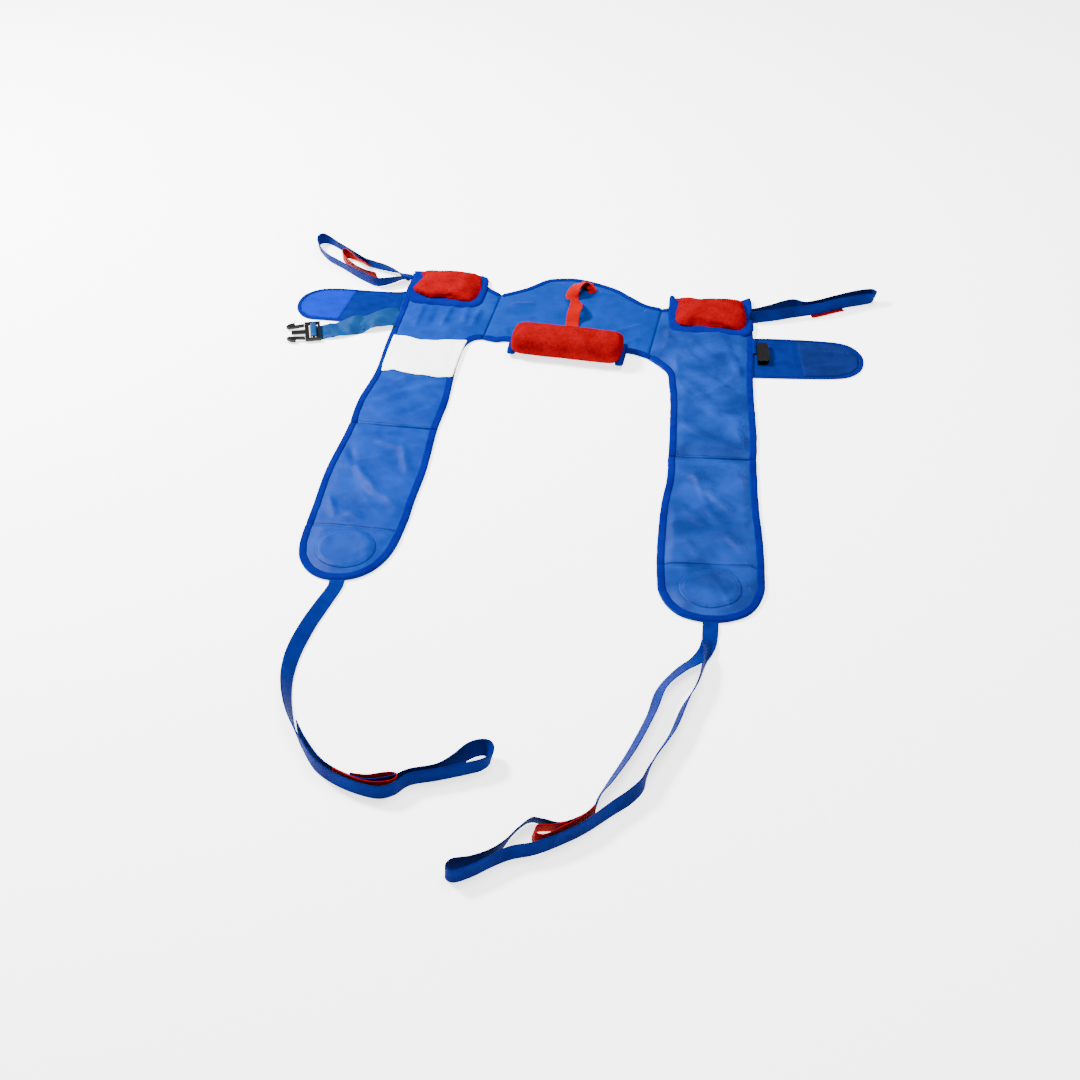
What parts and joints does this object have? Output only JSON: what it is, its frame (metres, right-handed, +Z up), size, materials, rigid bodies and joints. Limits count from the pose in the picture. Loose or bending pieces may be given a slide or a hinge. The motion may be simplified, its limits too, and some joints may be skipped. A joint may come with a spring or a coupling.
{
  "type": "patient lifting belt sling",
  "caption": "Padded patient lifting belt laid flat: a back section with a padded roll and carrying handle, long padded leg pieces, belt wings with a buckle, and webbing loops.",
  "frame": {"origin": "on the resting surface under the lower middle of the back section", "axes": "+Z up from the surface, +Y towards the top of the back section, +X to the side with the female buckle"},
  "size_m": [1.1461, 1.7012, 0.05],
  "materials": {
    "shell_fabric": "woven nylon with a slight sheen",
    "lining_fabric": "brushed woven lining",
    "binding_tape": "ribbed edge tape, stitched",
    "foam": "soft open foam",
    "red_fabric": "woven padded cover",
    "loop_webbing": "ribbed webbing",
    "red_webbing": "ribbed webbing",
    "belt_webbing": "shiny flat webbing",
    "hook_tape": "fine hook tape",
    "loop_tape": "brushed loop tape",
    "label": "smooth printed-side-blank label",
    "black_plastic": "moulded, fine texture"
  },
  "bodies": {
    "back_section": {"back_outer_fabric": "shell_fabric", "back_foam": "foam", "back_lining": "lining_fabric", "back_top_binding": "binding_tape", "back_lower_binding": "binding_tape", "back_roll_cover": "red_fabric", "back_roll_foam": "foam", "back_roll_end_binding": "binding_tape", "grab_handle": "red_webbing"},
    "left_side_panel": {"left_panel_outer": "shell_fabric", "left_panel_foam": "foam", "left_panel_lining": "lining_fabric", "left_panel_binding": "binding_tape", "left_arm_pad_cover": "red_fabric", "left_arm_pad_foam": "foam", "left_arm_pad_binding": "binding_tape", "care_label": "label"},
    "left_lower_leg": {"left_leg_outer": "shell_fabric", "left_leg_foam": "foam", "left_leg_lining": "lining_fabric", "left_leg_binding": "binding_tape", "left_reinforcing_disc": "shell_fabric", "left_strap_anchor": "loop_webbing"},
    "left_leg_loop": {"left_leg_strap": "loop_webbing", "left_leg_red_loop": "red_webbing"},
    "left_shoulder_loop": {"left_shoulder_strap": "loop_webbing", "left_shoulder_red_loop": "red_webbing"},
    "right_side_panel": {"right_panel_outer": "shell_fabric", "right_panel_foam": "foam", "right_panel_lining": "lining_fabric", "right_panel_binding": "binding_tape", "right_arm_pad_cover": "red_fabric", "right_arm_pad_foam": "foam", "right_arm_pad_binding": "binding_tape"},
    "right_lower_leg": {"right_leg_outer": "shell_fabric", "right_leg_foam": "foam", "right_leg_lining": "lining_fabric", "right_leg_binding": "binding_tape", "right_reinforcing_disc": "shell_fabric", "right_strap_anchor": "loop_webbing"},
    "right_leg_loop": {"right_leg_strap": "loop_webbing", "right_leg_red_loop": "red_webbing"},
    "right_shoulder_loop": {"right_shoulder_strap": "loop_webbing", "right_shoulder_red_loop": "red_webbing"},
    "left_wing": {"left_belt_wing": "shell_fabric", "left_wing_binding": "binding_tape", "left_hook_patch": "hook_tape"},
    "belt_webbing": {"belt_strap": "belt_webbing"},
    "male_buckle": {"male_buckle_frame": "black_plastic", "buckle_webbing": "belt_webbing"},
    "upper_prong": {"buckle_prong_upper": "black_plastic"},
    "lower_prong": {"buckle_prong_lower": "black_plastic"},
    "right_wing": {"right_belt_wing": "shell_fabric", "right_wing_binding": "binding_tape", "right_loop_patch": "loop_tape"},
    "female_half": {"female_buckle": "black_plastic", "female_buckle_tab": "loop_webbing"}
  },
  "joints": [
    {"name": "left_panel_fold", "type": "hinge", "parent": "back_section", "child": "left_side_panel", "pos_m": [-0.15498, 0.09244, 0.006], "axis": [0.1977, 0.9803, 0], "range_deg": [0, 75]},
    {"name": "right_panel_fold", "type": "hinge", "parent": "back_section", "child": "right_side_panel", "pos_m": [0.1587, 0.02919, 0.006], "axis": [0.1977, 0.9803, 0], "range_deg": [-75, 0]},
    {"name": "left_leg_fold", "type": "hinge", "parent": "left_side_panel", "child": "left_lower_leg", "pos_m": [-0.31825, -0.27104, 0.006], "axis": [-0.9888, 0.1495, 0], "range_deg": [0, 115]},
    {"name": "right_leg_fold", "type": "hinge", "parent": "right_side_panel", "child": "right_lower_leg", "pos_m": [0.23434, -0.36744, 0.006], "axis": [0.9971, -0.0767, 0], "range_deg": [-115, 0]},
    {"name": "left_leg_loop_fold", "type": "hinge", "parent": "left_lower_leg", "child": "left_leg_loop", "pos_m": [-0.3822, -0.69383, 0.006], "axis": [-0.9888, 0.1495, 0], "range_deg": [0, 60]},
    {"name": "right_leg_loop_fold", "type": "hinge", "parent": "right_lower_leg", "child": "right_leg_loop", "pos_m": [0.20153, -0.79378, 0.006], "axis": [0.9971, -0.0767, 0], "range_deg": [-60, 0]},
    {"name": "left_shoulder_fold", "type": "hinge", "parent": "left_side_panel", "child": "left_shoulder_loop", "pos_m": [-0.31753, 0.24465, 0.006], "axis": [0.1495, 0.9888, 0], "range_deg": [0, 80]},
    {"name": "right_shoulder_fold", "type": "hinge", "parent": "right_side_panel", "child": "right_shoulder_loop", "pos_m": [0.34657, 0.09532, 0.006], "axis": [0.0767, 0.9971, 0], "range_deg": [-80, 0]},
    {"name": "left_wing_fold", "type": "hinge", "parent": "left_side_panel", "child": "left_wing", "pos_m": [-0.33413, 0.1349, 0.006], "axis": [0.1495, 0.9888, 0], "range_deg": [0, 85]},
    {"name": "belt_webbing_fold", "type": "hinge", "parent": "left_wing", "child": "belt_webbing", "pos_m": [-0.34295, 0.07656, 0.006], "axis": [0.1495, 0.9888, 0], "range_deg": [0, 35]},
    {"name": "male_buckle_tilt", "type": "hinge", "parent": "belt_webbing", "child": "male_buckle", "pos_m": [-0.45947, 0.04517, 0.0049], "axis": [-0.1392, 0.9903, 0], "range_deg": [0, 30]},
    {"name": "upper_prong_squeeze", "type": "hinge", "parent": "male_buckle", "child": "upper_prong", "pos_m": [-0.51516, 0.06026, 0.0056], "axis": [0, 0, 1], "range_deg": [0, 5], "stiffness_Nm_per_rad": 3},
    {"name": "lower_prong_squeeze", "type": "hinge", "parent": "male_buckle", "child": "lower_prong", "pos_m": [-0.50885, 0.0153, 0.0056], "axis": [0, 0, 1], "range_deg": [-5, 0], "stiffness_Nm_per_rad": 3},
    {"name": "right_wing_fold", "type": "hinge", "parent": "right_side_panel", "child": "right_wing", "pos_m": [0.33537, -0.05025, 0.006], "axis": [0.0767, 0.9971, 0], "range_deg": [-80, 0]},
    {"name": "female_buckle_tilt", "type": "hinge", "parent": "right_wing", "child": "female_half", "pos_m": [0.33636, -0.0413, 0.006], "axis": [0.0767, 0.9971, 0], "range_deg": [-35, 0]}
  ]
}
